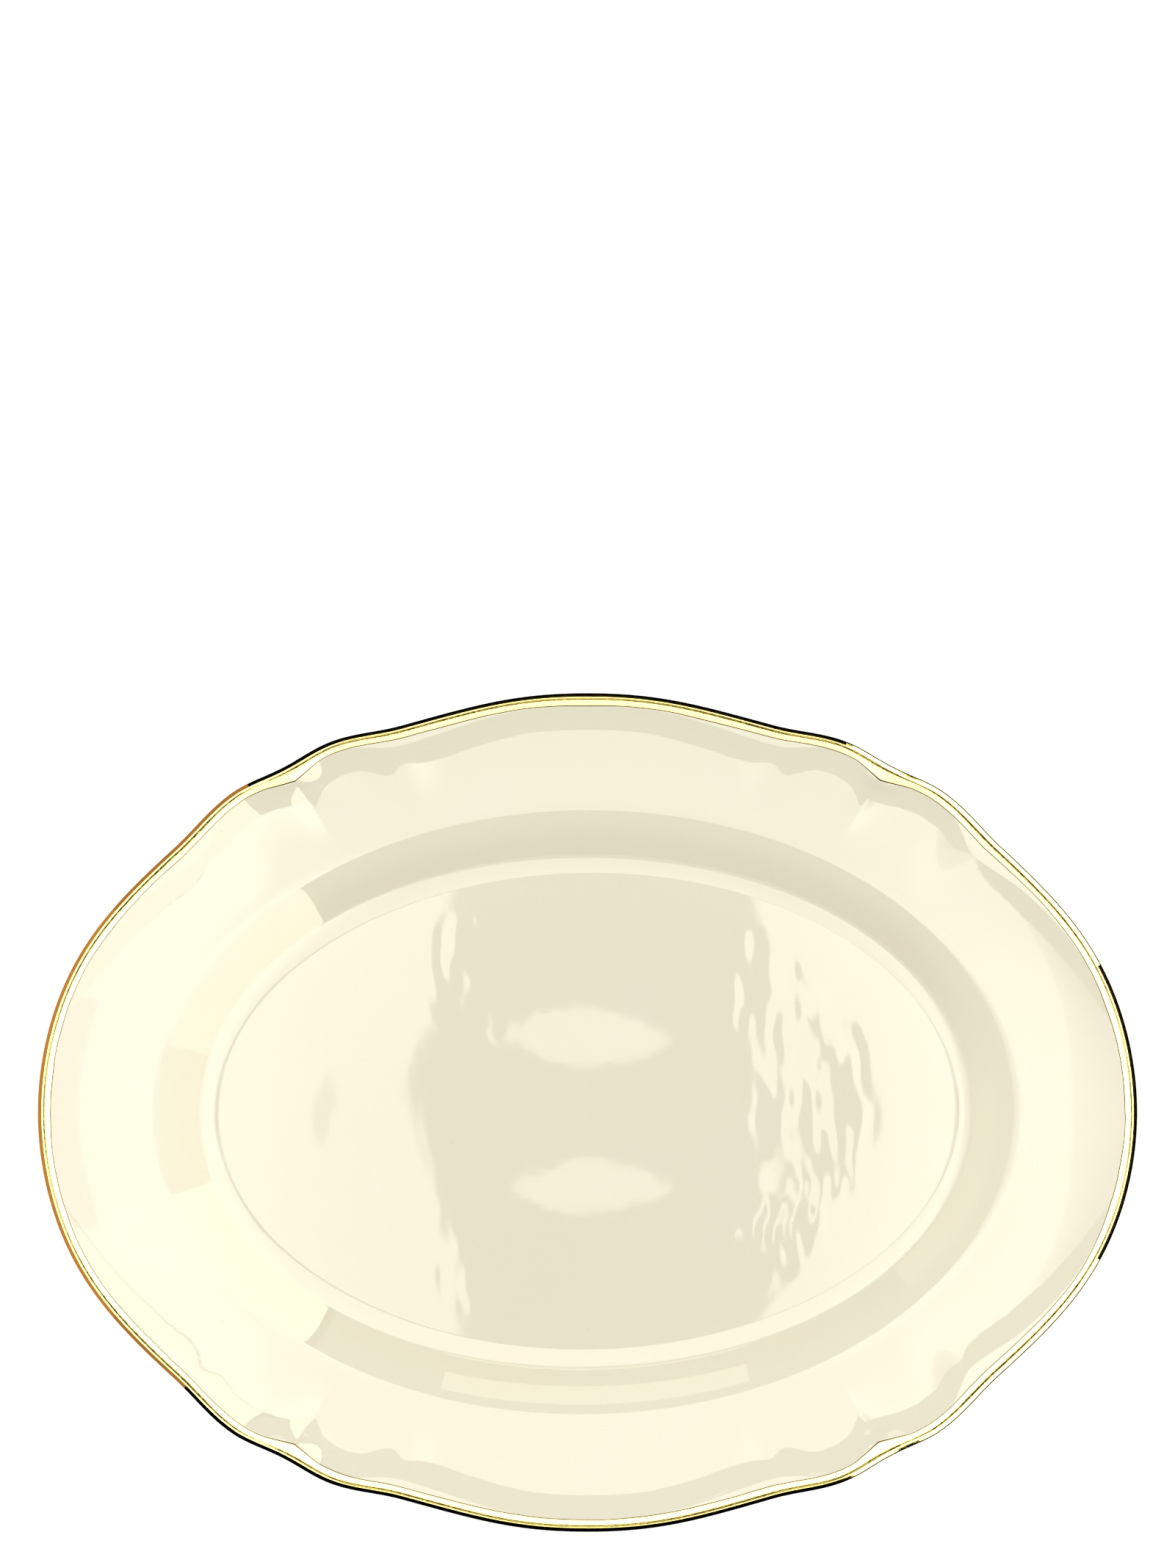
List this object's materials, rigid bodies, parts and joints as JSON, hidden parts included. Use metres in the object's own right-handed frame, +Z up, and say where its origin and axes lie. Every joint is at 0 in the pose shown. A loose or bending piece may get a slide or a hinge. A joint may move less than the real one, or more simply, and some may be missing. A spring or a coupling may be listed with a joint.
{
  "type": "china serving platter",
  "caption": "Oval china serving platter with a broad scalloped brim, a shallow well, a standing foot ring and a gilded band over the rim.",
  "frame": {"origin": "on the plane that the foot ring stands on, under the middle of the platter", "axes": "+X along the length, +Y across the width, +Z up out of the well"},
  "size_m": [0.38, 0.29, 0.032],
  "materials": {
    "fired_clay": "matt fired clay",
    "bare_foot": "matt, unglazed where it meets the table",
    "face_glaze": "warm ivory gloss glaze",
    "back_glaze": "warm ivory gloss glaze",
    "gilding": "bright burnished gold with a hand-painted edge"
  },
  "bodies": {
    "root": {"clay_body": "fired_clay", "foot_ring": "bare_foot", "face_glaze": "face_glaze", "back_glaze": "back_glaze", "gold_rim_band": "gilding"}
  },
  "joints": []
}
